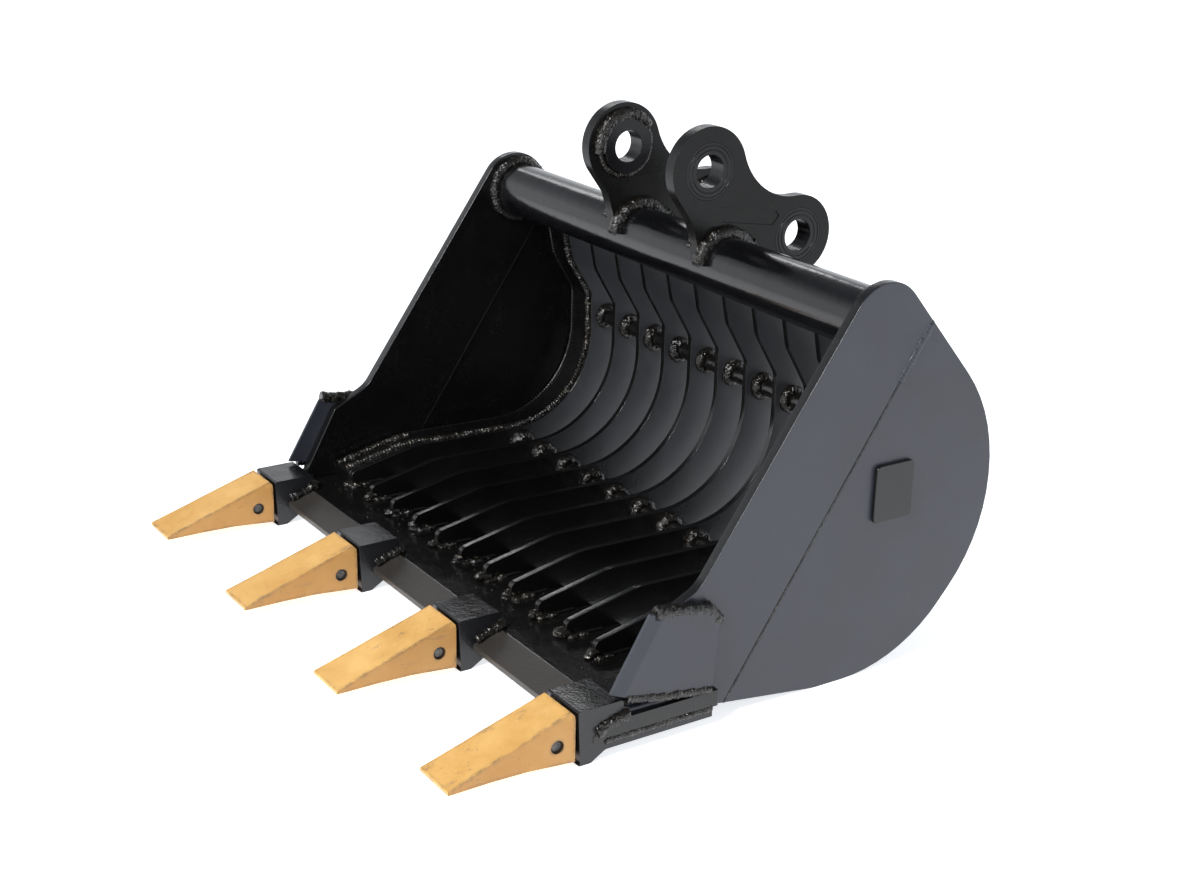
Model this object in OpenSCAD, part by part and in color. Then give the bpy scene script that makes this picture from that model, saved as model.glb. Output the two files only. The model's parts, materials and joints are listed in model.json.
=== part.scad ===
// Skeleton (riddle) bucket for a mini excavator.
// X runs across the bucket, -Y is the side of the teeth and +Z is up.
// The origin is on the ground, under the middle of the bucket's bounding box.

/* [Bucket] */
// Width over the two side plates
bucket_w = 600; // [560:1:640]
// Thickness of the front part of each side plate
strip_t = 10; // [8:0.5:12]
// Thickness of the rear part of each side plate
sheet_t = 8; // [6:0.5:10]
// Width of the weld groove between the two parts of a side plate
seam_gap = 1.5; // [1:0.1:2]

/* [Ribs and rods] */
// Number of ribs, the two end ribs included
rib_n = 12; // [12:1:12]
// Distance from rib to rib
rib_pitch = 46; // [44:0.5:47]
// Thickness of a rib
rib_t = 6; // [4:0.5:10]
// Diameter of the two cross rods
rod_d = 16; // [12:0.5:18]
// Thickness of the filler strips beside the end ribs
filler_t = 6; // [4:0.5:8]

/* [Torque tube] */
// Outer diameter of the tube
tube_d = 54; // [50:1:58]
// Wall of the tube
tube_wall = 5; // [3:0.5:8]

/* [Ears] */
// Diameter of the pins that carry the bucket
pin_d = 30; // [28:1:32]
// Width of the arm that goes between the ears
arm_w = 110; // [108:1:114]
// Thickness of an ear plate
ear_t = 12; // [10:0.5:14]
// How far a boss stands proud of the inner face of its ear
boss_proud = 7; // [5:0.5:8]
// Outer diameter of a boss
boss_d = 52; // [48:1:56]
// Distance between the two pin centres
pin_centres = 126; // [120:1:130]

/* [Cutting edge] */
// Thickness of the blade
blade_t = 15; // [13:0.5:16]
// Height of the top face of the blade above the ground
blade_top = 32.5; // [31:0.5:34]
// Thickness of a side cutter
cutter_t = 9; // [8:0.5:10]

/* [Teeth] */
// Distance from tooth to tooth
tooth_pitch = 190; // [186:1:191]
// Width of a tooth at its cutting end
tip_w = 45; // [42:1:47]
// Width of an adapter
adapter_w = 46; // [44:1:47]
// Diameter of a tooth pin
tooth_pin_d = 8; // [7:0.5:9]
// Radial clearance of a tooth pin
pin_clear = 0.05; // [0.03:0.01:0.1]

/* [Hidden] */
$fn = 64;

black = [0.16, 0.16, 0.17];
dark = [0.1, 0.1, 0.11];
amber = [0.93, 0.65, 0.33];
steel = [0.35, 0.35, 0.36];
rubber = [0.06, 0.06, 0.06];

// Distances along the side view are measured back from the tooth tips.
depth_mid = 265.5;
slit = 0.05;
arc_step = 6;

half_w = bucket_w / 2;
strip_in = half_w - strip_t;
end_rib_x = (rib_n - 1) / 2 * rib_pitch;

// Centres and radii in the side view, as [distance from the tips, height]
tube_c = [408.5, 315];
dipper_c = [389.5, 402.5];
link_angle = -33.8;
link_c = dipper_c + pin_centres * [cos(link_angle), sin(link_angle)];
lower_rod_c = [391, 44];
upper_rod_c = [498.5, 171];
// Height of the ribs' top ends, behind the tube
rib_top = 309;
lobe_1_r = 40.5;
lobe_2_r = 38;

// Blade, in the side view
blade_front = 121;
bevel_back = 147.5;
bevel_drop = 9.5;
blade_back = 243;

// Tooth, adapter and pin, in the side view
tooth_tip = -9;
tooth_back = 105;
adapter_front = 107;
lug_back = 127;
strap_back = 238;
top_strap_back = 149.5;
strap_low = 8.5;
adapter_top = 48;
tooth_pin_c = [88.5, 22.5];

// ---- Outlines ----

// Direction of the vector v in degrees
function heading(v) = atan2(v[1], v[0]);
// Turn from direction a to direction b, from -180 to 180
function turn(a, b) = let (d = heading(b) - heading(a)) d > 180 ? d - 360 : (d < -180 ? d + 360 : d);
// Points that round the corner at b, between a and c, to the radius r
function corner(a, b, c, r) =
    let (
        u = (b - a) / norm(b - a),
        v = (c - b) / norm(c - b),
        t = turn(u, v),
        cut = r * tan(abs(t) / 2),
        side = sign(t),
        first = b - u * cut,
        centre = first + r * side * [-u[1], u[0]],
        steps = max(1, ceil(abs(t) / arc_step))
    )
    r == 0 ? [b] : [for (i = [0:steps]) let (g = heading(first - centre) + t * i / steps)
        centre + r * [cos(g), sin(g)]];
// A closed outline from points [y, z, corner radius]
function rounded(p) = [for (i = [0:len(p) - 1])
    let (n = len(p), a = p[(i + n - 1) % n], b = p[i], c = p[(i + 1) % n])
    each corner([a[0], a[1]], [b[0], b[1]], [c[0], c[1]], b[2])];

// Stands a side-view shape up, from x_from to x_to
module side(x_from, x_to)
    translate([x_from, 0, 0])
        rotate([90, 0, 90])
            linear_extrude(x_to - x_from)
                translate([-depth_mid, 0])
                    children();

// A cylinder along X through the side-view point c
module bar(c, d, x_from, x_to)
    translate([x_from, c[0] - depth_mid, c[1]])
        rotate([0, 90, 0])
            cylinder(d = d, h = x_to - x_from);

// The whole side of the bucket: round back, flat bottom, raked front edge
module side_outline()
    polygon(rounded([
        [150, blade_top, 0], [189, 104, 6], [227, 123, 30], [403.5, 376, 37.5], [540, 218, 150],
        [540, 103, 150], [449, 0, 146], [352, 0, 60], [blade_back, 14, 0],
        [blade_back, blade_top, 0]]));

// The hollow of the bucket, bounded by the inner edges of the ribs
module hollow()
    polygon(rounded([
        [60, blade_top, 0], [187, blade_top, 0], [187, 47, 6], [262, 63, 60],
        [480, 58.5, 96], [480, 198, 12], [455, 240, 24], [446, 284, 8], [434, 296, 0],
        [390, 416, 0], [60, 416, 0]]));

// The side plate's seam, as a band from (first) to (second) side of its line
seam_low = [255, 11];
seam_high = [467, 326];
seam_dir = (seam_high - seam_low) / norm(seam_high - seam_low);
seam_normal = [seam_dir[1], -seam_dir[0]];
module seam_band(first, second)
    polygon([
        seam_low - 60 * seam_dir + first * seam_normal,
        seam_high + 60 * seam_dir + first * seam_normal,
        seam_high + 60 * seam_dir + second * seam_normal,
        seam_low - 60 * seam_dir + second * seam_normal]);

// ---- Shell ----

// Front part of a side plate; the tube is welded to its inner face
module side_strip(x_from)
    color(black)
        side(x_from, x_from + strip_t)
            intersection() {
                side_outline();
                seam_band(-500, -seam_gap / 2);
            }

// Rear part of a side plate, flush with the front part outside
module side_sheet(x_from)
    color(black)
        side(x_from, x_from + sheet_t)
            intersection() {
                side_outline();
                seam_band(seam_gap / 2, 500);
            }

// Butt weld that joins the two parts of a side plate
module seam_weld(x_from)
    color(dark)
        side(x_from, x_from + sheet_t - 1)
            intersection() {
                side_outline();
                seam_band(slit - seam_gap / 2, seam_gap / 2 - slit);
            }

module torque_tube()
    color(black)
        difference() {
            bar(tube_c, tube_d, slit - strip_in, strip_in - slit);
            bar(tube_c, tube_d - 2 * tube_wall, -half_w, half_w);
        }

// Rib in the side view, cut out for the tube and the blade
module rib_outline()
    difference() {
        side_outline();
        hollow();
        translate(tube_c)
            circle(d = tube_d + 2 * slit);
        translate([300, rib_top])
            square([260, 100]);
        translate([60, 0])
            square([blade_back + slit - 60, blade_top + slit]);
    }

module rib(x_mid)
    color(black)
        difference() {
            side(x_mid - rib_t / 2, x_mid + rib_t / 2)
                rib_outline();
            for (c = [lower_rod_c, upper_rod_c])
                bar(c, rod_d + 2 * slit, x_mid - rib_t, x_mid + rib_t);
        }

// Strip that closes the gap between a side plate and its end rib
module filler_strip(x_from, x_to)
    color(black)
        side(x_from, x_to)
            intersection() {
                rib_outline();
                polygon(rounded([
                    [60, 0, 0], [187 + filler_t, 0, 0], [187 + filler_t, 51 - filler_t, 0],
                    [262, 63 - filler_t, 60], [480 + filler_t, 58.5 - filler_t, 96 + filler_t],
                    [480 + filler_t, 198, 12], [455 + filler_t, 240, 24],
                    [446 + filler_t, 284, 8], [446 + filler_t, rib_top, 0], [60, rib_top, 0]]));
            }

module cross_rod(c)
    color(dark)
        bar(c, rod_d, -end_rib_x - rib_t / 2, end_rib_x + rib_t / 2);

// Cutting edge plate, bevelled along its front
module blade()
    color(dark)
        side(-half_w - cutter_t, half_w + cutter_t)
            polygon([
                [blade_front, blade_top - blade_t], [blade_back - slit, blade_top - blade_t],
                [blade_back - slit, blade_top - slit], [bevel_back, blade_top - slit],
                [blade_front, blade_top - bevel_drop]]);

// Lower and upper end of a side cutter's knife edge, in the side view
knife_low = [139.5, 52];
knife_high = [176, 113.5];
knife_edge = knife_high - knife_low;
// Thickness left at the knife edge, and the width of its bevel
knife_t = 2.5;
knife_bevel = 9;

// Wear plate outside the lower front corner of the right side plate
module side_cutter()
    color(black)
        difference() {
            side(half_w + slit, half_w + cutter_t)
                polygon([knife_low, knife_high, [230, 105.5], [241, 93.5], [236, 33.5]]);
            translate([half_w + knife_t, knife_low[0] - depth_mid, knife_low[1]])
                rotate([heading(knife_edge) - 90, 0, 0])
                    rotate([0, 0, atan2(knife_bevel, cutter_t - knife_t)])
                        translate([-20, -20, -40])
                            cube([60, 20, norm(knife_edge) + 80]);
        }

// ---- Ears ----

// The point at distance ra from a and rb from b, on the left of the line from a to b
function touching(a, ra, b, rb) =
    let (d = norm(b - a), along = (ra * ra - rb * rb + d * d) / (2 * d),
         off = sqrt(ra * ra - along * along), u = (b - a) / d)
    a + along * u + off * [-u[1], u[0]];

// The hollow curve between the lobes touches both of them
neck_r = 62;
neck_steps = 14;
neck_c = touching(dipper_c, lobe_1_r + neck_r, link_c, lobe_2_r + neck_r);
neck_from = heading(link_c - neck_c);
neck_to = heading(dipper_c - neck_c);
function neck_a(i) = neck_from + (neck_to - neck_from) * i / neck_steps;

module ear_outline()
    difference() {
        union() {
            translate(dipper_c)
                circle(r = lobe_1_r);
            translate(link_c)
                circle(r = lobe_2_r);
            polygon([
                dipper_c + lobe_1_r * [cos(218), sin(218)], [372, 357.5], [378, 338],
                [tube_c[0] - tube_d / 2, tube_c[1]], [tube_c[0], tube_c[1] - 10],
                [452, rib_top - 10], [488, 264],
                link_c + lobe_2_r * [cos(250), sin(250)], link_c,
                each [for (i = [0:neck_steps]) neck_c + neck_r * [cos(neck_a(i)), sin(neck_a(i))]],
                dipper_c]);
        }
        // saddle over the tube
        translate(tube_c)
            circle(d = tube_d + 2 * slit);
        // the ear stands on the back of the shell
        difference() {
            side_outline();
            translate([300, rib_top])
                square([260, 140]);
        }
        // the foot ends at the front of the tube
        translate([tube_c[0] - 60, tube_c[1] - 64])
            square([60, 60]);
    }

module ear(x_from, panel_at, panel_depth)
    color(black)
        difference() {
            side(x_from, x_from + ear_t)
                ear_outline();
            for (c = [dipper_c, link_c])
                bar(c, boss_d + 2 * slit, x_from - 1, x_from + ear_t + 1);
            // plain sunk panel
            translate([panel_at, 0, 0])
                side(-panel_depth, panel_depth)
                    polygon([[402, 369], [467, 358.5], [471, 353.5], [464, 345.5], [405, 355]]);
        }

// Turned boss through an ear, bored for the pin
module boss(c, x_from, face_at)
    color(dark)
        difference() {
            bar(c, boss_d, x_from, x_from + ear_t + boss_proud);
            bar(c, pin_d, x_from - 1, x_from + ear_t + boss_proud + 1);
            for (ring_d = [boss_d - 4, boss_d - 12])
                difference() {
                    bar(c, ring_d, face_at - 0.6, face_at + 0.6);
                    bar(c, ring_d - 2, face_at - 1, face_at + 1);
                }
        }

ear_in = arm_w / 2 + boss_proud;
ear_out = ear_in + ear_t;

// ---- Teeth ----

function tooth_x(i) = (i - 2.5) * tooth_pitch;
nose_w = 30;
nose_front = 48;

// Weld-on adapter: lug, two straps round the blade and a nose for the tooth
module adapter(i)
    color(black)
        difference() {
            union() {
                side(tooth_x(i) - adapter_w / 2, tooth_x(i) + adapter_w / 2)
                    polygon(rounded([
                        [adapter_front, 2, 2], [adapter_front, adapter_top, 2],
                        [top_strap_back, adapter_top, 3], [top_strap_back, blade_top + slit, 0],
                        [bevel_back, blade_top + slit, 0],
                        [blade_front - slit, blade_top - bevel_drop + slit, 0],
                        [blade_front - slit, blade_top - blade_t - slit, 0],
                        [strap_back, blade_top - blade_t - slit, 0], [strap_back, strap_low, 0],
                        [lug_back + 6, strap_low, 8], [lug_back - 8, 0, 6], [adapter_front, 0, 2]]));
                side(tooth_x(i) - nose_w / 2, tooth_x(i) + nose_w / 2)
                    polygon([
                        [adapter_front + 1, 9.8], [adapter_front + 1, 37.7], [nose_front, 24.7],
                        [nose_front, 14.5]]);
            }
            bar(tooth_pin_c, tooth_pin_d + 2 * pin_clear, tooth_x(i) - nose_w, tooth_x(i) + nose_w);
            bar(tooth_pin_c, retainer_d + 2 * slit, tooth_x(i) - retainer_l / 2 - slit,
                tooth_x(i) + retainer_l / 2 + slit);
        }

// Side view of a tooth: flat underside, straight top down to the chisel edge
module tooth_outline()
    polygon([
        [tooth_tip, 9.5], [tooth_tip, 12.5], [tooth_back - 3, 48.5], [tooth_back, 45],
        [tooth_back, 5], [62, 8.5]]);

// Plan of a tooth: wide chisel edge, slight waist, square back
module tooth_plan(back_w)
    polygon([
        [-tip_w / 2, tooth_tip - 1], [tip_w / 2, tooth_tip - 1], [tip_w / 2 - 1.5, 30],
        [back_w / 2, tooth_pin_c[0]], [back_w / 2, tooth_back + 1], [-back_w / 2, tooth_back + 1],
        [-back_w / 2, tooth_pin_c[0]], [1.5 - tip_w / 2, 30]]);

module tooth(i)
    color(amber)
        difference() {
            intersection() {
                side(tooth_x(i) - 40, tooth_x(i) + 40)
                    tooth_outline();
                translate([tooth_x(i), -depth_mid, -5])
                    linear_extrude(80)
                        tooth_plan(adapter_w - 2);
            }
            // chamfer along each top edge, widening to the back
            for (s = [-1, 1])
                translate([tooth_x(i), 0, 0])
                    mirror([s < 0 ? 1 : 0, 0, 0])
                        tooth_chamfer();
            // socket for the adapter's nose
            side(tooth_x(i) - nose_w / 2 - 0.5, tooth_x(i) + nose_w / 2 + 0.5)
                polygon([
                    [tooth_back + 1, 9.4], [tooth_back + 1, 38], [nose_front - 1, 25],
                    [nose_front - 1, 14.1]]);
            bar(tooth_pin_c, tooth_pin_d + 2 * pin_clear, tooth_x(i) - 30, tooth_x(i) + 30);
            for (s = [-1, 1])
                bar(tooth_pin_c, tooth_pin_d + 3, tooth_x(i) + s * 21.5 - 2, tooth_x(i) + s * 21.5 + 2);
        }

// Wedge cut from one top edge of a tooth
module tooth_chamfer()
    polyhedron(
        points = [
            [tip_w / 2 + 1, tooth_tip - 2 - depth_mid, 9], [tip_w / 2 + 1, tooth_tip - 2 - depth_mid, 16],
            [tip_w / 2 - 0.5, tooth_tip - 2 - depth_mid, 16],
            [adapter_w / 2 + 1, tooth_back + 1 - depth_mid, 36],
            [adapter_w / 2 + 1, tooth_back + 1 - depth_mid, 54],
            [adapter_w / 2 - 5, tooth_back + 1 - depth_mid, 54]],
        faces = [[0, 2, 1], [3, 4, 5], [0, 1, 4, 3], [1, 2, 5, 4], [0, 3, 5, 2]]);

retainer_d = 14;
retainer_l = 9;
tooth_pin_l = 40;

// Pin that locks a tooth to its adapter, with a groove for the retainer
module tooth_pin(i)
    color(steel)
        difference() {
            bar(tooth_pin_c, tooth_pin_d, tooth_x(i) - tooth_pin_l / 2, tooth_x(i) + tooth_pin_l / 2);
            difference() {
                bar(tooth_pin_c, tooth_pin_d + 2, tooth_x(i) - 1, tooth_x(i) + 1);
                bar(tooth_pin_c, tooth_pin_d - 1.5, tooth_x(i) - 2, tooth_x(i) + 2);
            }
        }

// Rubber ring that grips the pin inside the nose
module pin_retainer(i)
    color(rubber)
        difference() {
            bar(tooth_pin_c, retainer_d, tooth_x(i) - retainer_l / 2, tooth_x(i) + retainer_l / 2);
            bar(tooth_pin_c, tooth_pin_d + 2 * pin_clear, tooth_x(i) - retainer_l, tooth_x(i) + retainer_l);
        }

// Plain raised plate on the right side
module side_badge()
    color(dark)
        side(half_w + slit, half_w + 4)
            polygon(rounded([[404, 142, 5], [404, 194, 5], [446, 194, 5], [446, 142, 5]]));

side_strip(-half_w);  // side_strip_left
side_strip(strip_in);  // side_strip_right
side_sheet(-half_w);  // side_sheet_left
side_sheet(half_w - sheet_t);  // side_sheet_right
seam_weld(-half_w);  // seam_weld_left
seam_weld(half_w - sheet_t + 1);  // seam_weld_right
torque_tube();
ear(-ear_out, -ear_out, 1);  // ear_left
ear(ear_in, ear_out, 1);  // ear_right
boss(dipper_c, -ear_out, -ear_out);  // dipper_boss_left
boss(dipper_c, arm_w / 2, ear_out);  // dipper_boss_right
boss(link_c, -ear_out, -ear_out);  // link_boss_left
boss(link_c, arm_w / 2, ear_out);  // link_boss_right
rib(-end_rib_x);  // end_rib_left
rib(end_rib_x);  // end_rib_right
for (i = [1:10])
    rib((i - 5.5) * rib_pitch);
filler_strip(slit - strip_in, -end_rib_x - rib_t / 2 - slit);  // filler_strip_left
filler_strip(end_rib_x + rib_t / 2 + slit, strip_in - slit);  // filler_strip_right
cross_rod(lower_rod_c);  // lower_rod
cross_rod(upper_rod_c);  // upper_rod
blade();
mirror([1, 0, 0]) side_cutter();  // side_cutter_left
side_cutter();  // side_cutter_right
for (i = [1:4]) {
    adapter(i);
    tooth(i);
    tooth_pin(i);
    pin_retainer(i);
}
side_badge();
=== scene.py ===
"""Riddle bucket for a mini excavator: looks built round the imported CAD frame."""
import json
import math
import random

import bpy
from mathutils import Matrix, Vector

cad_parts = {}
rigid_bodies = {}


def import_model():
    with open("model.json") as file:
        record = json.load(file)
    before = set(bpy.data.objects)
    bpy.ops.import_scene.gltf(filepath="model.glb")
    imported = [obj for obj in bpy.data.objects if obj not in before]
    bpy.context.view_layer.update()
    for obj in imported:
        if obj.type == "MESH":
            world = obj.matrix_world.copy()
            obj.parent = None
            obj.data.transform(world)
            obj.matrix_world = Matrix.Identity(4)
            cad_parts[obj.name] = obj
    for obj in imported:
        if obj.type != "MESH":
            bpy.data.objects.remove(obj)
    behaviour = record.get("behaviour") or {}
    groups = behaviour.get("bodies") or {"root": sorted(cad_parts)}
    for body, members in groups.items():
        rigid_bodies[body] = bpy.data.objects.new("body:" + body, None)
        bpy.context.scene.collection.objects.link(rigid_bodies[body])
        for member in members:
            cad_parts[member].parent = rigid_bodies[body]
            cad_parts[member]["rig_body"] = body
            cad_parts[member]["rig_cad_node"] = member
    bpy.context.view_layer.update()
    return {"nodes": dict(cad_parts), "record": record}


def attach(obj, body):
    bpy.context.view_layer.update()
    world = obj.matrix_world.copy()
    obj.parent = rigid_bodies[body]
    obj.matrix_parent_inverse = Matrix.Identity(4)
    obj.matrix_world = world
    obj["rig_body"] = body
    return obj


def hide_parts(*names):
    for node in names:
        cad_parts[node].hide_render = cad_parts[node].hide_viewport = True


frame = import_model()
random.seed(7)

MM = 0.001
# The side view is drawn in millimetres back from the tooth tips; the frame's origin is this far back.
DEPTH_MID = 265.5


def at(x, back, up):
    """A point in the frame from millimetres across, back from the tips, and up."""
    return Vector((x * MM, (back - DEPTH_MID) * MM, up * MM))


# ---------------------------------------------------------------- side-view lines

HALF_W = 300
STRIP_IN = 290
RIB_T = 6
RIB_PITCH = 46
END_RIB_X = 253
TUBE_C = (408.5, 315)
TUBE_R = 27
DIPPER_C = (389.5, 402.5)
LINK_C = (494.2, 332.4)
LOWER_ROD_C = (391, 44)
UPPER_ROD_C = (498.5, 171)
TOOTH_PIN_C = (88.5, 22.5)
EAR_IN = 62
EAR_OUT = 74
BLADE_TOP = 32.5
TOOTH_X = (-285, -95, 95, 285)
RIB_X = [(i - 5.5) * RIB_PITCH for i in range(1, 11)]
ALL_RIB_X = [-END_RIB_X] + RIB_X + [END_RIB_X]

# Inner edge of the ribs, as [back, up, corner radius]
INNER_EDGE = [(187, 47, 0), (262, 63, 60), (480, 58.5, 96), (480, 198, 12), (455, 240, 24), (446, 284, 0)]


def corner(a, b, c, radius, step=math.radians(6)):
    """Points that round the corner at b to the radius."""
    a, b, c = Vector(a), Vector(b), Vector(c)
    if radius == 0:
        return [b]
    u, v = (b - a).normalized(), (c - b).normalized()
    turn = math.atan2(u.x * v.y - u.y * v.x, u.dot(v))
    cut = radius * math.tan(abs(turn) / 2)
    first = b - u * cut
    centre = first + Vector((-u.y, u.x)) * math.copysign(radius, turn)
    start = math.atan2(first.y - centre.y, first.x - centre.x)
    n = max(1, math.ceil(abs(turn) / step))
    return [centre + radius * Vector((math.cos(start + turn * i / n), math.sin(start + turn * i / n)))
            for i in range(n + 1)]


def rounded(points):
    """An open line with rounded corners, from (back, up, radius)."""
    line = []
    for i, p in enumerate(points):
        a = points[max(0, i - 1)]
        c = points[min(len(points) - 1, i + 1)]
        line += corner(a[:2], p[:2], c[:2], 0 if i in (0, len(points) - 1) else p[2])
    return line


def arc(centre, radius, start, end, step=8):
    """Side-view points on an arc, angles in degrees from straight back, turning up."""
    n = max(2, math.ceil(abs(end - start) / step))
    return [Vector((centre[0] + radius * math.cos(math.radians(start + (end - start) * i / n)),
                    centre[1] + radius * math.sin(math.radians(start + (end - start) * i / n))))
            for i in range(n + 1)]


def across(line, x):
    """Stands a side-view line up at x."""
    return [at(x, p[0], p[1]) for p in line]


def smooth_path(line, step=4.0):
    """Evenly spaced points along a side-view line."""
    out, spare = [Vector(line[0])], 0.0
    for a, b in zip(line, line[1:]):
        a, b = Vector(a), Vector(b)
        long = (b - a).length
        d = step - spare
        while d < long:
            out.append(a + (b - a) * d / long)
            d += step
        spare = long - (d - step)
    out.append(Vector(line[-1]))
    return out


# ---------------------------------------------------------------- bench tools

def nothing_selected():
    """Leaves edit mode and deselects everything."""
    if bpy.context.object and bpy.context.object.mode != "OBJECT":
        bpy.ops.object.mode_set(mode="OBJECT")
    bpy.ops.object.select_all(action="DESELECT")


def pick(piece):
    """Selects one piece alone and makes it the active one."""
    nothing_selected()
    piece.select_set(True)
    bpy.context.view_layer.objects.active = piece
    return piece


def modifier(piece, kind, **values):
    """Adds a modifier, sets its values and applies it."""
    pick(piece)
    bpy.ops.object.modifier_add(type=kind)
    made = piece.modifiers[-1]
    for name, value in values.items():
        setattr(made, name, value)
    bpy.ops.object.modifier_apply(modifier=made.name)


def settled(piece):
    """Applies the object's place, so that it sits at the origin with its place in its mesh."""
    pick(piece)
    bpy.ops.object.transform_apply(location=True, rotation=True, scale=True)


def finished(piece, body, slot_name, smooth=40, look=None):
    """Gives a finished piece its shading, body and the material of its slot."""
    pick(piece)
    bpy.ops.object.shade_smooth_by_angle(angle=math.radians(smooth))
    piece.data.materials.clear()
    piece.data.materials.append(finish[look or slot_name])
    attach(piece, body)
    return piece


def lumps(name, size):
    """A cloud pattern that pushes a weld's skin in and out; size in metres."""
    made = bpy.data.textures.get(name) or bpy.data.textures.new(name, "CLOUDS")
    made.noise_scale = size
    made.noise_depth = 2
    return made


# ---------------------------------------------------------------- finishes

def group(name, inputs, outputs):
    """A shader group with named sockets: inputs as (name, kind, default), outputs as (name, kind)."""
    tree = bpy.data.node_groups.new(name, "ShaderNodeTree")
    for label, kind, value in inputs:
        made = tree.interface.new_socket(name=label, in_out="INPUT", socket_type="NodeSocket" + kind)
        made.default_value = value
    for label, kind in outputs:
        tree.interface.new_socket(name=label, in_out="OUTPUT", socket_type="NodeSocket" + kind)
    return tree, tree.nodes.new("NodeGroupInput"), tree.nodes.new("NodeGroupOutput")


def node(tree, kind, inputs=None, **values):
    """A shader node; inputs are values or other nodes' outputs."""
    made = tree.nodes.new("ShaderNode" + kind)
    for key, value in values.items():
        setattr(made, key, value)
    for key, value in (inputs or {}).items():
        if isinstance(value, bpy.types.NodeSocket):
            tree.links.new(value, made.inputs[key])
        else:
            made.inputs[key].default_value = value
    return made


def noise(tree, vector, scale, detail=3.0, rough=0.55):
    """Cloudy noise, scale in clouds per metre."""
    made = node(tree, "TexNoise", {"Vector": vector, "Scale": scale, "Detail": detail, "Roughness": rough})
    return made.outputs["Fac"]


def specks(tree, vector, scale, low, high):
    """Round specks: one in the middle of a speck, and nothing outside it."""
    cells = node(tree, "TexVoronoi", {"Vector": vector, "Scale": scale})
    return spread(tree, cells.outputs["Distance"], low, high, 1.0, 0.0)


def spread(tree, value, low, high, to_low=0.0, to_high=1.0):
    """Maps low..high to to_low..to_high, held at both ends."""
    return node(tree, "MapRange", {"Value": value, "From Min": low, "From Max": high,
                                   "To Min": to_low, "To Max": to_high}).outputs["Result"]


def sums(tree, operation, first, second=0.5):
    """One sum of two values, such as ADD or MULTIPLY."""
    return node(tree, "Math", {0: first, 1: second}, operation=operation).outputs[0]


def times(tree, first, second):
    return sums(tree, "MULTIPLY", first, second)


def vector_sums(tree, operation, first, second=(0, 0, 0)):
    """One sum of two vectors: all its outputs."""
    return node(tree, "VectorMath", {0: first, 1: second}, operation=operation).outputs


def mixed(tree, share, first, second):
    """Mixes two colours: first where share is nothing, second where it is one."""
    made = node(tree, "Mix", data_type="RGBA")
    for key, value in ((0, share), (6, first), (7, second)):
        if isinstance(value, bpy.types.NodeSocket):
            tree.links.new(value, made.inputs[key])
        else:
            made.inputs[key].default_value = value
    return made.outputs[2]


def place(tree):
    """The spot on the object, in metres in the shared frame."""
    return node(tree, "TexCoord").outputs["Object"]


def bumps(tree, height, strength, distance):
    """The normal of a surface raised by a height."""
    made = node(tree, "Bump", {"Strength": strength, "Distance": distance, "Height": height})
    return made.outputs["Normal"]


def blank(name):
    """A new material, with its tree and its shader."""
    material = bpy.data.materials.new(name)
    material.use_nodes = True
    return material, material.node_tree, material.node_tree.nodes["Principled BSDF"]


def effect(tree, shared, **values):
    """Places a shared group in a material with its own values, and gives its outputs."""
    placed = tree.nodes.new("ShaderNodeGroup")
    placed.node_tree = shared
    for key, value in values.items():
        placed.inputs[key.replace("_", " ").capitalize()].default_value = value
    return placed.outputs


DUST_BROWN = (0.045, 0.04, 0.032, 1)
SCRATCH_GREY = (0.045, 0.044, 0.042, 1)
NIB_BLACK = (0.006, 0.006, 0.006, 1)
# Pale grey painted on welds as glints: painted highlights.
PAINTED_GLINT = (0.42, 0.38, 0.32, 1)


def make_paint_film():
    """Sprayed paint: faint cloudiness, orange peel, dust nibs, uneven gloss."""
    tree, start, end = group(
        "paint_film",
        [("Deep", "Color", (0.02, 0.02, 0.022, 1)), ("Worn", "Color", (0.04, 0.04, 0.043, 1)),
         ("Gloss", "Float", 0.35), ("Gloss spread", "Float", 0.1), ("Peel", "Float", 0.1),
         ("Dust", "Float", 0.5), ("Relief", "Float", 0.0012)],
        [("Colour", "Color"), ("Roughness", "Float"), ("Normal", "Vector"), ("Nib", "Float")])
    given = start.outputs
    spot = place(tree)
    cloud = noise(tree, spot, 9.0, 5.0, 0.6)
    body = mixed(tree, spread(tree, cloud, 0.35, 0.72), given["Deep"], given["Worn"])
    sparse = spread(tree, noise(tree, spot, 38.0), 0.52, 0.7)
    nib = times(tree, times(tree, specks(tree, spot, 240.0, 0.09, 0.16), sparse), given["Dust"])
    tree.links.new(mixed(tree, nib, body, DUST_BROWN), end.inputs["Colour"])
    tree.links.new(nib, end.inputs["Nib"])
    patch = noise(tree, spot, 26.0, 6.0, 0.65)
    swing = times(tree, spread(tree, patch, 0.3, 0.7, -1.0, 1.0), given["Gloss spread"])
    tree.links.new(sums(tree, "ADD", given["Gloss"], swing), end.inputs["Roughness"])
    peel = times(tree, noise(tree, spot, 330.0, 2.0, 0.5), 0.5)
    height = sums(tree, "ADD", peel, noise(tree, spot, 60.0, 2.0, 0.5))
    height = sums(tree, "ADD", height, times(tree, nib, 3.0))
    tree.links.new(bumps(tree, height, given["Peel"], given["Relief"]), end.inputs["Normal"])
    return tree


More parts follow.
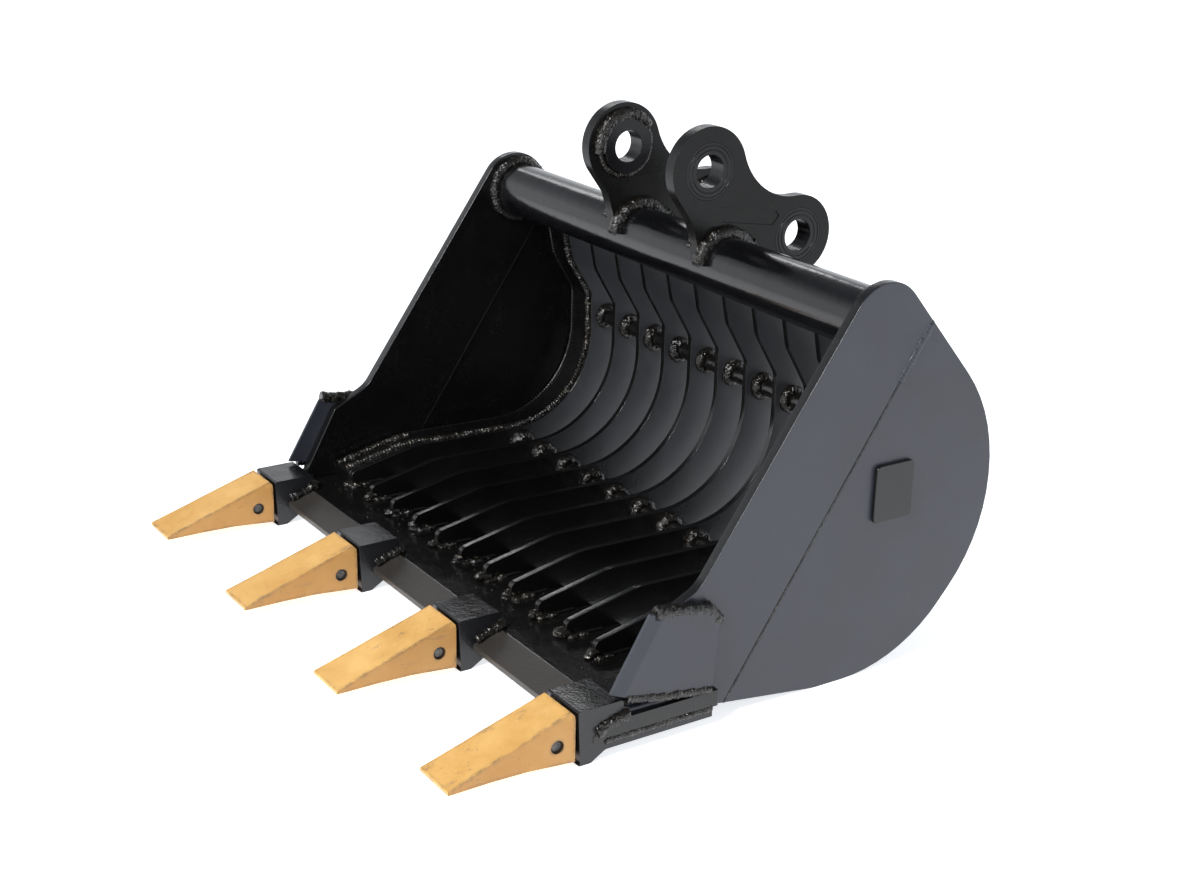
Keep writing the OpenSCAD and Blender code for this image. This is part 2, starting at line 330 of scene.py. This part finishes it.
def make_facing():
    """Masks by where a face points: flanks (across), the front bevel, and the outsides of the bucket; the
    paints use them to place painted reflection and painted shade.
    """
    tree, _, end = group("facing", [], [("Flank", "Float"), ("Rear flank", "Float"), ("Bevel", "Float"),
                                        ("Outside", "Float")])
    coordinates = node(tree, "TexCoord").outputs
    way = node(tree, "SeparateXYZ", {"Vector": coordinates["Normal"]}).outputs
    where = node(tree, "SeparateXYZ", {"Vector": coordinates["Object"]}).outputs
    outer_x = HALF_W * MM
    flank = spread(tree, sums(tree, "ABSOLUTE", way["X"]), 0.9, 0.98)
    tree.links.new(flank, end.inputs["Flank"])
    tree.links.new(times(tree, flank, spread(tree, where["Y"], 0.10, 0.19)), end.inputs["Rear flank"])
    tree.links.new(spread(tree, way["Y"], -0.22, -0.30), end.inputs["Bevel"])
    off_middle = sums(tree, "ABSOLUTE", where["X"])
    tree.links.new(spread(tree, off_middle, outer_x - 0.0010, outer_x - 0.0002), end.inputs["Outside"])
    return tree


def make_edge_rub():
    """Mask of the outer edges of a piece, broken up as rubbing leaves it."""
    tree, start, end = group("edge_rub", [("Width", "Float", 0.002), ("Reach", "Float", 0.3)],
                             [("Mask", "Float")])
    soft = node(tree, "Bevel", {"Radius": start.outputs["Width"]}, samples=4).outputs["Normal"]
    hard = node(tree, "NewGeometry").outputs["Normal"]
    same = vector_sums(tree, "DOT_PRODUCT", soft, hard)["Value"]
    edge = spread(tree, same, 0.90, 0.995, 1.0, 0.0)
    ragged = spread(tree, noise(tree, place(tree), 140.0, 6.0, 0.7), 0.38, 0.6)
    tree.links.new(times(tree, times(tree, edge, ragged), start.outputs["Reach"]), end.inputs["Mask"])
    return tree


def make_scuffs():
    """Mask of short fine scratches along one way."""
    tree, start, end = group("scuffs", [("Way", "Vector", (1, 1, 1)), ("Amount", "Float", 0.5)],
                             [("Mask", "Float")])
    turned = node(tree, "Mapping", {"Vector": place(tree), "Scale": start.outputs["Way"]}).outputs["Vector"]
    lines = spread(tree, noise(tree, turned, 60.0, 8.0, 0.75), 0.56, 0.63)
    where = spread(tree, noise(tree, place(tree), 14.0, 2.0), 0.42, 0.58)
    tree.links.new(times(tree, times(tree, lines, where), start.outputs["Amount"]), end.inputs["Mask"])
    return tree


paint_film, facing, edge_rub, scuffs = make_paint_film(), make_facing(), make_edge_rub(), make_scuffs()


def black_paint(name, deep, worn, gloss, gloss_spread, peel, dust, scratch=(1, 1, 1), scratched=0.0,
                relief=0.0012, shine=0.5, glint=0.0, painted_reflection_mask=None, painted_reflection_colour=(0.03, 0.03, 0.032), duller=0.0):
    """A black sprayed finish; faces under the named facing mask are painted in a lighter colour, a painted
    reflection, and are duller; glint paints pale patches as painted glints.
    """
    material, tree, shader = blank(name)
    film = effect(tree, paint_film, deep=(*deep, 1), worn=(*worn, 1), gloss=gloss,
                  gloss_spread=gloss_spread, peel=peel, dust=dust, relief=relief)
    marks = effect(tree, scuffs, way=scratch, amount=scratched)
    colour = mixed(tree, marks["Mask"], film["Colour"], SCRATCH_GREY)
    rough = film["Roughness"]
    # Painted reflection: faces under the named facing mask are painted a lighter colour, standing in for the
    # bright room they would reflect; dust nibs stay black on them.
    if painted_reflection_mask:
        cloud = spread(tree, noise(tree, place(tree), 14.0, 5.0, 0.6), 0.3, 0.7, 0.75, 1.0)
        amount = times(tree, effect(tree, facing)[painted_reflection_mask], cloud)
        colour = mixed(tree, amount, colour, (*painted_reflection_colour, 1))
        colour = mixed(tree, film["Nib"], colour, NIB_BLACK)
        rough = sums(tree, "ADD", rough, times(tree, amount, duller))
    # Painted glints: sparse pale patches on the welds stand in for highlights.
    if glint:
        glint_patches = spread(tree, noise(tree, place(tree), 210.0, 4.0, 0.7), 0.60, 0.70)
        colour = mixed(tree, times(tree, glint_patches, glint), colour, PAINTED_GLINT)
    tree.links.new(colour, shader.inputs["Base Color"])
    tree.links.new(rough, shader.inputs["Roughness"])
    tree.links.new(film["Normal"], shader.inputs["Normal"])
    shader.inputs["Specular IOR Level"].default_value = shine
    return material


AMBER = (0.56, 0.295, 0.072, 1)
AMBER_PALE = (0.74, 0.45, 0.145, 1)
AMBER_SMEAR = (0.76, 0.54, 0.26, 1)
# Darker amber of the tooth flanks: painted shade.
AMBER_FLANK_SHADE = (0.36, 0.175, 0.05, 1)
RUBBED_BROWN = (0.10, 0.07, 0.05, 1)
SCUFFED_BROWN = (0.20, 0.13, 0.085, 1)
NICK_BROWN = (0.06, 0.035, 0.02, 1)
# Near black in the pin bore: painted shade.
BORE_SHADE = (0.012, 0.008, 0.006, 1)
BORE_R = 0.0055
BORE_SOFT = 0.0007


def amber_paint(name):
    """Amber paint on a rough casting: flanks painted darker as painted shade, brown rubbed edges, dark nicks,
    pale smears, and the pin bore painted near black as painted shade.
    """
    material, tree, shader = blank(name)
    spot = place(tree)
    cloud = noise(tree, spot, 22.0, 6.0, 0.62)
    colour = mixed(tree, spread(tree, cloud, 0.3, 0.72), AMBER, AMBER_PALE)
    smear = spread(tree, noise(tree, spot, 55.0, 5.0, 0.7), 0.6, 0.75)
    colour = mixed(tree, times(tree, smear, 0.35), colour, AMBER_SMEAR)
    # Painted shade: faces that point across are painted darker than the top.
    colour = mixed(tree, times(tree, effect(tree, facing)["Flank"], 0.7), colour, AMBER_FLANK_SHADE)
    rub = effect(tree, edge_rub, width=0.0055, reach=0.85)
    gaps = spread(tree, noise(tree, spot, 34.0), 0.34, 0.50)
    colour = mixed(tree, times(tree, rub["Mask"], gaps), colour, RUBBED_BROWN)
    marks = effect(tree, scuffs, way=(1.6, 0.35, 2.2), amount=0.75)
    colour = mixed(tree, marks["Mask"], colour, SCUFFED_BROWN)
    sparse = spread(tree, noise(tree, spot, 60.0), 0.55, 0.62)
    nick = times(tree, specks(tree, spot, 260.0, 0.08, 0.16), sparse)
    colour = mixed(tree, times(tree, nick, 0.8), colour, NICK_BROWN)
    # Painted shade: the bore round the pin is painted near black.
    from_pin = vector_sums(tree, "SUBTRACT", spot, tuple(at(0, *TOOTH_PIN_C)))["Vector"]
    from_pin = vector_sums(tree, "MULTIPLY", from_pin, (0, 1, 1))["Vector"]
    from_pin = vector_sums(tree, "LENGTH", from_pin)["Value"]
    bore_shade = spread(tree, from_pin, BORE_R, BORE_R + BORE_SOFT, 0.96, 0.0)
    colour = mixed(tree, bore_shade, colour, BORE_SHADE)
    tree.links.new(colour, shader.inputs["Base Color"])
    tree.links.new(spread(tree, cloud, 0.3, 0.7, 0.55, 0.4), shader.inputs["Roughness"])
    grain = times(tree, noise(tree, spot, 600.0), 0.35)
    cast = sums(tree, "ADD", noise(tree, spot, 90.0, 5.0, 0.6), grain)
    cast = sums(tree, "SUBTRACT", cast, times(tree, nick, 0.5))
    tree.links.new(bumps(tree, cast, 0.35, 0.0012), shader.inputs["Normal"])
    shader.inputs["Specular IOR Level"].default_value = 0.4
    return material


def dark_steel(name):
    """Oxidised steel of the locking pins, turned end faces."""
    material, tree, shader = blank(name)
    spot = place(tree)
    cloud = noise(tree, spot, 180.0, 5.0, 0.6)
    colour = mixed(tree, spread(tree, cloud, 0.35, 0.7), (0.05, 0.05, 0.051, 1), (0.14, 0.134, 0.128, 1))
    tree.links.new(colour, shader.inputs["Base Color"])
    tree.links.new(spread(tree, cloud, 0.3, 0.7, 0.5, 0.32), shader.inputs["Roughness"])
    shader.inputs["Metallic"].default_value = 0.8
    tree.links.new(bumps(tree, noise(tree, spot, 900.0), 0.25, 0.0006), shader.inputs["Normal"])
    return material


def matt_rubber(name):
    """Grainy black rubber of the pin retainers."""
    material, tree, shader = blank(name)
    grain = noise(tree, place(tree), 500.0)
    colour = mixed(tree, grain, (0.012, 0.012, 0.012, 1), (0.03, 0.03, 0.03, 1))
    tree.links.new(colour, shader.inputs["Base Color"])
    tree.links.new(spread(tree, grain, 0.3, 0.7, 0.7, 0.85), shader.inputs["Roughness"])
    return material


COAL = (0.003, 0.003, 0.003)
# Where an entry names a facing mask, the faces under it are painted in the lighter colour given with it:
# painted reflection on the plate outsides, the rear rib flanks, the blade's front bevel and the adapters'
# flanks.
BLACKS = {
    "black_plate": dict(deep=(0.002, 0.002, 0.0022), worn=(0.004, 0.004, 0.0045), gloss=0.26,
                        gloss_spread=0.04, peel=0.10, dust=0.30, scratch=(1, 3, 0.5), scratched=0.10,
                        painted_reflection_mask="Outside", painted_reflection_colour=(0.029, 0.0322, 0.043), duller=0.12),
    "black_ear": dict(deep=COAL, worn=(0.007, 0.007, 0.007), gloss=0.26, gloss_spread=0.04, peel=0.12,
                      dust=0.40, shine=0.22),
    # Glint puts pale patches on the welds: painted glints.
    "black_weld": dict(deep=(0.002, 0.002, 0.002), worn=(0.008, 0.006, 0.0035), gloss=0.09,
                       gloss_spread=0.04, peel=0.7, dust=0.3, relief=0.005, glint=0.35),
    "tip_weld": dict(deep=(0.002, 0.002, 0.002), worn=(0.010, 0.008, 0.005), gloss=0.12,
                     gloss_spread=0.05, peel=0.7, dust=0.3, relief=0.005, glint=1.0),
    "black_tube": dict(deep=(0.002, 0.002, 0.0025), worn=(0.005, 0.0053, 0.006), gloss=0.16,
                       gloss_spread=0.04, peel=0.16, dust=0.5),
    "turned_boss": dict(deep=(0.003, 0.003, 0.0035), worn=(0.007, 0.007, 0.008), gloss=0.22,
                        gloss_spread=0.05, peel=0.08, dust=0.2, shine=0.3),
    "black_rib": dict(deep=COAL, worn=(0.006, 0.006, 0.006), gloss=0.18, gloss_spread=0.05, peel=0.16,
                      dust=1.0, painted_reflection_mask="Rear flank", painted_reflection_colour=(0.044, 0.046, 0.051), duller=0.22),
    "black_rod": dict(deep=COAL, worn=(0.007, 0.006, 0.005), gloss=0.16, gloss_spread=0.05, peel=0.3,
                      dust=0.3),
    "black_blade": dict(deep=COAL, worn=(0.006, 0.006, 0.0055), gloss=0.16, gloss_spread=0.05, peel=0.22,
                        dust=1.0, scratch=(2.5, 0.4, 1), scratched=0.15,
                        painted_reflection_mask="Bevel", painted_reflection_colour=(0.040, 0.036, 0.032), duller=0.24),
    "black_casting": dict(deep=(0.003, 0.003, 0.0035), worn=(0.007, 0.007, 0.008), gloss=0.20,
                          gloss_spread=0.05, peel=0.25, dust=0.5, relief=0.0014,
                          painted_reflection_mask="Flank", painted_reflection_colour=(0.0095, 0.010, 0.012), duller=0.12),
    "badge_paint": dict(deep=(0.004, 0.004, 0.004), worn=(0.008, 0.008, 0.008), gloss=0.20,
                        gloss_spread=0.05, peel=0.1, dust=0.3),
}

finish = {name: black_paint(name, **values) for name, values in BLACKS.items()}
finish["tooth_paint"] = amber_paint("tooth_paint")
finish["pin_steel"] = dark_steel("pin_steel")
finish["retainer_rubber"] = matt_rubber("retainer_rubber")

slot_of = {s["node"]: s["material_slot"] for s in frame["record"]["subparts"]}
for name, cad in frame["nodes"].items():
    cad.data.materials.clear()
    cad.data.materials.append(finish[slot_of[name]])


# ---------------------------------------------------------------- plates with real edges

def edged(cad_name, width, segments=2, look=None, sharpest=32):
    """A copy of a CAD node with its edges eased, which stands for the node."""
    pick(frame["nodes"][cad_name])
    bpy.ops.object.duplicate()
    piece = bpy.context.object
    piece.name = cad_name + "_eased"
    piece.parent = None
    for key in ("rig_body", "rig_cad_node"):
        if key in piece:
            del piece[key]
    bpy.ops.mesh.customdata_custom_splitnormals_clear()
    bpy.ops.object.mode_set(mode="EDIT")
    bpy.ops.mesh.select_all(action="SELECT")
    bpy.ops.mesh.remove_doubles(threshold=2e-6)
    bpy.ops.mesh.dissolve_limited(angle_limit=math.radians(0.6))
    bpy.ops.mesh.select_all(action="DESELECT")
    bpy.ops.object.mode_set(mode="OBJECT")
    modifier(piece, "BEVEL", width=width * MM, segments=segments, limit_method="ANGLE",
             angle_limit=math.radians(sharpest), miter_outer="MITER_ARC")
    finished(piece, "bucket", slot_of[cad_name], smooth=sharpest + 13, look=look)
    modifier(piece, "WEIGHTED_NORMAL", keep_sharp=True, weight=80)
    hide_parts(cad_name)
    return piece


for side in ("left", "right"):
    edged("side_strip_" + side, 1.0)
    edged("side_sheet_" + side, 0.8)
    edged("side_cutter_" + side, 0.8)
    edged("ear_" + side, 1.2, look="black_ear")
    edged("dipper_boss_" + side, 0.8)
    edged("link_boss_" + side, 0.8)
    edged("end_rib_" + side, 0.8)
    edged("filler_strip_" + side, 0.6)
for i in range(1, 11):
    edged("rib_%d" % i, 0.5)
for i in range(1, 5):
    edged("adapter_%d" % i, 2.4, 3, sharpest=25)
    edged("tooth_%d" % i, 1.7, 3)
edged("blade", 0.8, sharpest=12)
edged("side_badge", 1.0)


# ---------------------------------------------------------------- welds

# Length of one ripple in a run of weld, and in the widest runs
RIPPLE = 3.4
WIDE_RIPPLE = 4.4

# Runs of weld in the side view, as [back, up]
SEAM_TOP = [(456, 310), (425, 264)]
CUTTER_TOP = [(180, 114.5), (231, 106.5), (243, 93)]
CUTTER_REAR = [(241.5, 90), (239, 60), (237, 36)]
CUTTER_FOOT = [(152, 48), (180, 42), (210, 37.5), (236, 34)]
CUTTER_UNDER = [(150, 34), (180, 33.5), (210, 33), (240, 32.5)]
TUBE_FOOT = (441, 292)
EAR_FOOT = [(440, 334), (474, 292), (497, 262)]
ADAPTER_SLOPE = [(124, 26), (147, 34.5), (153, 35)]
ADAPTER_STRAP = [(132, 16.5), (236, 16.5)]
RIB_FOOT = [(196, BLADE_TOP + 0.5), (222, BLADE_TOP + 0.5)]
RIB_TIP_BACK = 186


def bead(name, path, radius, crest=1.28, ripple=RIPPLE, rough=0.5, look=None):
    """A run of weld along a path: one ripple extruded from a ring, repeated and bent along the path."""
    length = sum((b - a).length for a, b in zip(path, path[1:]))
    nothing_selected()
    bpy.ops.mesh.primitive_circle_add(vertices=10, radius=radius * MM / crest, location=(0, 0, 0),
                                      rotation=(0, math.pi / 2, 0))
    piece = bpy.context.object
    settled(piece)
    bpy.ops.object.mode_set(mode="EDIT")
    bpy.ops.mesh.select_all(action="SELECT")
    for forward, grow in ((0.35, crest), (0.35, 1.0), (0.30, 1 / crest)):
        bpy.ops.mesh.extrude_region_move(TRANSFORM_OT_translate={"value": (forward * ripple * MM, 0, 0)})
        bpy.ops.transform.resize(value=(1, grow, grow))
    bpy.ops.object.mode_set(mode="OBJECT")
    modifier(piece, "ARRAY", fit_type="FIXED_COUNT", count=max(2, round(length / (ripple * MM))),
             use_relative_offset=False, use_constant_offset=True,
             constant_offset_displace=(ripple * MM, 0, 0), use_merge_vertices=True, merge_threshold=1e-5)
    guide_line = bpy.data.curves.new(name + "_guide", "CURVE")
    guide_line.dimensions = "3D"
    spline = guide_line.splines.new("POLY")
    spline.points.add(len(path) - 1)
    for point, p in zip(spline.points, path):
        point.co = (*p, 1)
    guide = bpy.data.objects.new(name + "_guide", guide_line)
    bpy.context.scene.collection.objects.link(guide)
    bpy.context.view_layer.update()
    modifier(piece, "CURVE", object=guide, deform_axis="POS_X")
    bpy.data.objects.remove(guide)
    modifier(piece, "DISPLACE", texture=lumps("weld_lumps", 0.007), texture_coords="LOCAL",
             strength=rough * radius * 0.5 * MM)
    bpy.ops.object.mode_set(mode="EDIT")
    bpy.ops.mesh.select_all(action="DESELECT")
    bpy.ops.mesh.select_non_manifold()
    bpy.ops.mesh.fill_holes(sides=0)
    bpy.ops.mesh.select_all(action="SELECT")
    bpy.ops.mesh.normals_make_consistent(inside=False)
    bpy.ops.object.mode_set(mode="OBJECT")
    piece.name = name
    return finished(piece, "bucket", "black_weld", smooth=70, look=look)


def joined(name, pieces):
    """Joins pieces into one under a name."""
    nothing_selected()
    for p in pieces:
        p.select_set(True)
    bpy.context.view_layer.objects.active = pieces[0]
    bpy.ops.object.join()
    pieces[0].name = name
    return pieces[0]


def leaning(line, near, far):
    """Stands a line up at an x that slides from near to far between 250 and 300 mm back."""
    slide = [min(1, max(0, (p[0] - 250) / 50)) for p in line]
    return [at(near + (far - near) * k, p[0], p[1]) for k, p in zip(slide, line)]


def run(name, line, x, radius, **values):
    """A run of weld along a side-view line, at x."""
    return bead(name, across(line, x), radius, **values)


def flank_welds(sign, side):
    """Welds of one side plate: to the rib strip, the tube, the cutter and along the seam."""
    edge = smooth_path(rounded(INNER_EDGE))
    front = [p for p in edge if p[0] < 272]
    rear = [p for p in edge if p[0] > 268 or p[1] > 100]
    bead("end_rib_weld_" + side, leaning(edge, sign * 264, sign * 257), 4.2, rough=0.7, look="tip_weld")
    joined("corner_weld_" + side, [
        run("corner_front", front, sign * 283, 4.0, rough=0.7, look="tip_weld"),
        run("corner_back", rear, sign * 289, 1.9, rough=0.9, look="black_plate")])
    run("seam_cap_" + side, smooth_path(SEAM_TOP), sign * (HALF_W - 1.8), 4.0, crest=1.12, rough=0.8,
        look="black_plate")
    joined("tube_end_weld_" + side, [
        run("tube_ring", arc(TUBE_C, TUBE_R + 2, -80, 285), sign * (STRIP_IN - 2), 5.8, crest=1.1, rough=1.3),
        bead("tube_foot", [at(sign * x, *TUBE_FOOT) for x in (288, 275, 262, 252)], 5.0, rough=1.1)])
    joined("cutter_top_weld_" + side, [
        run("cutter_top", smooth_path(CUTTER_TOP), sign * (HALF_W + 4.0), 6.2, crest=1.1,
            ripple=WIDE_RIPPLE, rough=1.3),
        run("cutter_rear", smooth_path(CUTTER_REAR), sign * (HALF_W + 1.5), 2.6, crest=1.1, rough=0.9,
            look="black_plate")])
    joined("cutter_foot_weld_" + side, [
        run("cutter_low", smooth_path(CUTTER_FOOT), sign * (HALF_W + 6.5), 4.6, crest=1.15, rough=1.4),
        run("cutter_under", smooth_path(CUTTER_UNDER), sign * (HALF_W + 1.5), 3.0, crest=1.08, rough=0.8,
            look="black_plate")])


def saddle(x, first):
    """A fat run over the tube beside an ear, from the angle first to just under the tube's back."""
    return run("saddle", arc(TUBE_C, TUBE_R + 2.5, first, -22), x, 7.4, crest=1.07, ripple=WIDE_RIPPLE,
               rough=1.2)


def ear_welds(sign, side):
    """Fat saddles over the tube, rings round the bosses and runs down the ear's foot."""
    long_way, short_way = 172, 150
    outside, inside = (long_way, short_way) if sign > 0 else (short_way, long_way)
    joined("ear_tube_weld_" + side, [saddle(sign * (EAR_OUT + 2.5), outside),
                                     saddle(sign * (EAR_IN - 2.5), inside)])
    rings = [run("boss_ring", arc(c, 28.0, -75, 290), sign * (EAR_IN - 0.5), 3.6, rough=1.0)
             for c in (DIPPER_C, LINK_C)]
    hump = run("boss_hump", arc(DIPPER_C, 29.5, 35, 190), sign * (EAR_IN - 2), 6.4, crest=1.07,
               ripple=WIDE_RIPPLE, rough=1.2)
    joined("boss_weld_" + side, rings + [hump])
    joined("ear_foot_weld_" + side, [run("ear_foot", smooth_path(EAR_FOOT), sign * x, 4.0, rough=0.9)
                                     for x in (EAR_IN - 1.0, EAR_OUT + 1.0)])


def adapter_welds(i, x):
    """Runs down both sides of an adapter and across its back."""
    runs = []
    for sign in (-1, 1):
        runs.append(run("adapter_side", smooth_path(ADAPTER_SLOPE), x + sign * 22.5, 5.6, crest=1.1,
                        ripple=WIDE_RIPPLE, rough=1.4))
        runs.append(run("adapter_strap", smooth_path(ADAPTER_STRAP), x + sign * 22.0, 3.6, rough=0.8))
    back = [at(x - 21, 149.5, 36), at(x - 7, 151, 37), at(x + 7, 151, 37), at(x + 21, 149.5, 36)]
    runs.append(bead("adapter_back", back, 6.4, crest=1.1, ripple=WIDE_RIPPLE, rough=1.3))
    joined("adapter_weld_%d" % i, runs)


for sign, side in ((-1, "left"), (1, "right")):
    flank_welds(sign, side)
    ear_welds(sign, side)
for i, x in enumerate(TOOTH_X, 1):
    adapter_welds(i, x)


def gathered(name, kind, shapes, stretch=1.0):
    """One piece made of many primitives of a kind, each stretched across about its own middle."""
    add = getattr(bpy.ops.mesh, "primitive_%s_add" % kind)
    piece = None
    for values in shapes:
        if piece is None:
            nothing_selected()
            add(**values)
            piece = bpy.context.object
            settled(piece)
            bpy.ops.object.mode_set(mode="EDIT")
            bpy.ops.mesh.select_all(action="SELECT")
        else:
            add(**values)
        if stretch != 1.0:
            bpy.ops.transform.resize(value=(stretch, 1, 1), center_override=values["location"])
    bpy.ops.object.mode_set(mode="OBJECT")
    piece.name = name
    return piece


def collar_rings(centre, ring, fat):
    """Rings of weld round a rod, one each side of every rib, none quite straight."""
    gap = RIB_T / 2 + 2
    for x in ALL_RIB_X:
        for sign, on_end in ((-1, -END_RIB_X), (1, END_RIB_X)):
            if x != on_end:
                spot = at(x + sign * gap, centre[0] + random.uniform(-0.6, 0.6),
                          centre[1] + random.uniform(-0.6, 0.6))
                yield {"major_segments": 22, "minor_segments": 8, "major_radius": ring * MM,
                       "minor_radius": fat * MM, "location": spot,
                       "rotation": (0, math.pi / 2 + random.uniform(-0.07, 0.07), 0)}


def collars(name, centre, ring, fat):
    """Lumpy collars of weld that hold every rib to a rod."""
    piece = gathered(name, "torus", collar_rings(centre, ring, fat), stretch=1.5)
    modifier(piece, "DISPLACE", texture=lumps("collar_lumps", 0.006), texture_coords="LOCAL",
             strength=5.0 * MM, mid_level=0.42)
    finished(piece, "bucket", "black_weld", smooth=70)


collars("lower_rod_weld", LOWER_ROD_C, 9.2, 5.2)
collars("upper_rod_weld", UPPER_ROD_C, 8.8, 4.8)


def tip_lumps():
    """Lumps of weld at the front tip of each rib: three round the nose, then pairs down its flanks."""
    for x in ALL_RIB_X:
        for k in range(7):
            spot = at(x + random.uniform(-2, 2), RIB_TIP_BACK + 0.5 + random.uniform(-2, 2),
                      BLADE_TOP + random.uniform(1, 5))
            size = random.uniform(4.0, 5.6) * MM
            if k > 2:
                back = RIB_TIP_BACK + 5 * (k - 2) + random.uniform(-2, 2)
                spot = at(x + (-6, 6)[k % 2], back, BLADE_TOP + 0.5)
                size = random.uniform(3.6, 4.8) * MM
            scale = (random.uniform(0.9, 1.3), random.uniform(1.1, 1.8), random.uniform(0.6, 0.9))
            yield {"subdivisions": 2, "radius": size, "location": spot, "scale": scale}


def tips():
    """Welds that hold the front tip of each rib down to the blade."""
    piece = gathered("rib_tip_weld", "ico_sphere", tip_lumps())
    modifier(piece, "DISPLACE", texture=lumps("weld_lumps", 0.007), texture_coords="LOCAL",
             strength=1.6 * MM)
    finished(piece, "bucket", "black_weld", smooth=70, look="tip_weld")
    joined("rib_foot_weld", [run("rib_foot", smooth_path(RIB_FOOT), x + sign * 4.2, 2.2, crest=1.08,
                                 rough=0.6, look="black_blade") for x in ALL_RIB_X for sign in (-1, 1)])


tips()


def spatter_balls(count=220):
    """Little balls of weld scattered over the blade, thickest by the rib tips."""
    for _ in range(count):
        x, back = random.uniform(-280, 280), random.triangular(152, 240, 195)
        size = random.choice((0.5, 0.6, 0.7, 0.8, 1.0, 1.4)) * MM
        yield {"subdivisions": 1, "radius": size, "location": at(x, back, BLADE_TOP + 0.1)}


def spatter():
    """The spatter as one piece; its last ball, still selected, is pressed flatter on the blade."""
    piece = gathered("blade_spatter", "ico_sphere", spatter_balls())
    bpy.ops.object.mode_set(mode="EDIT")
    bpy.ops.transform.resize(value=(1, 1, 0.7), center_override=(0, 0, BLADE_TOP * MM))
    bpy.ops.object.mode_set(mode="OBJECT")
    finished(piece, "bucket", "black_weld", smooth=70)


spatter()


# ---------------------------------------------------------------- floor, lights, camera

def floor():
    """Pale floor that glows a little, so that it stays as bright as the wall behind."""
    nothing_selected()
    bpy.ops.mesh.primitive_plane_add(size=24, location=(0, 0, 0))
    piece = bpy.context.object
    piece.name = "studio_floor"
    material, tree, shader = blank("studio_floor")
    cloud = noise(tree, place(tree), 1.6, 4.0)
    colour = mixed(tree, cloud, (0.90, 0.90, 0.905, 1), (0.94, 0.94, 0.94, 1))
    tree.links.new(colour, shader.inputs["Base Color"])
    shader.inputs["Roughness"].default_value = 0.75
    shader.inputs["Specular IOR Level"].default_value = 0.0
    shader.inputs["Emission Color"].default_value = (0.95, 0.97, 1.0, 1)
    shader.inputs["Emission Strength"].default_value = 0.75
    piece.data.materials.append(material)


def soft_light(name, stands_at, aim, size, power):
    """A rectangular lamp that points at aim."""
    light = bpy.data.lights.new(name, "AREA")
    light.shape = "RECTANGLE"
    light.size, light.size_y = size
    light.energy = power
    lamp = bpy.data.objects.new(name, light)
    bpy.context.scene.collection.objects.link(lamp)
    lamp.location = stands_at
    lamp.rotation_euler = (Vector(aim) - Vector(stands_at)).to_track_quat("-Z", "Y").to_euler()


LOW_SKY = (0.93, 0.96, 1.0, 1)
HIGH_SKY = (0.16, 0.165, 0.18, 1)


def studio():
    """Surroundings bright at the horizon and dim above, with a key lamp in front and a weak one behind."""
    world = bpy.data.worlds.new("studio")
    bpy.context.scene.world = world
    world.use_nodes = True
    tree = world.node_tree
    back = tree.nodes["Background"]
    height = node(tree, "SeparateXYZ", {"Vector": node(tree, "TexCoord").outputs["Generated"]}).outputs["Z"]
    sky = mixed(tree, spread(tree, height, 0.28, 0.62), LOW_SKY, HIGH_SKY)
    tree.links.new(sky, back.inputs["Color"])
    back.inputs["Strength"].default_value = 1.3
    soft_light("key", (0.9, -2.6, 2.7), (0, 0, 0.2), (0.9, 0.9), 140)
    soft_light("back_left", (-2.4, 1.15, 1.9), (0, 0, 0.3), (1.3, 0.22), 5)


CAMERA_AT = (1.3933, -0.8708, 0.7488)
CAMERA_TURN, CAMERA_LIFT, CAMERA_ROLL = 56.20, 20.14, 1.27
CAMERA_LENS = 56.28


def camera():
    """Camera at the object's front right, a little above it."""
    turn, lift, roll = (math.radians(v) for v in (CAMERA_TURN, CAMERA_LIFT, CAMERA_ROLL))
    back = Vector((math.sin(turn) * math.cos(lift), -math.cos(turn) * math.cos(lift), math.sin(lift)))
    level = Vector((math.cos(turn), math.sin(turn), 0))
    upright = back.cross(level)
    right = math.cos(roll) * level + math.sin(roll) * upright
    up = -math.sin(roll) * level + math.cos(roll) * upright
    lens = bpy.data.cameras.new("camera")
    lens.lens = CAMERA_LENS
    lens.sensor_width = 36
    lens.clip_start, lens.clip_end = 0.05, 60
    stand = bpy.data.objects.new("camera", lens)
    bpy.context.scene.collection.objects.link(stand)
    turned = Matrix((right, up, back)).transposed().to_4x4()
    stand.matrix_world = Matrix.Translation(CAMERA_AT) @ turned
    bpy.context.scene.camera = stand


floor()
studio()
camera()
bpy.context.scene.view_settings.view_transform = "Standard"
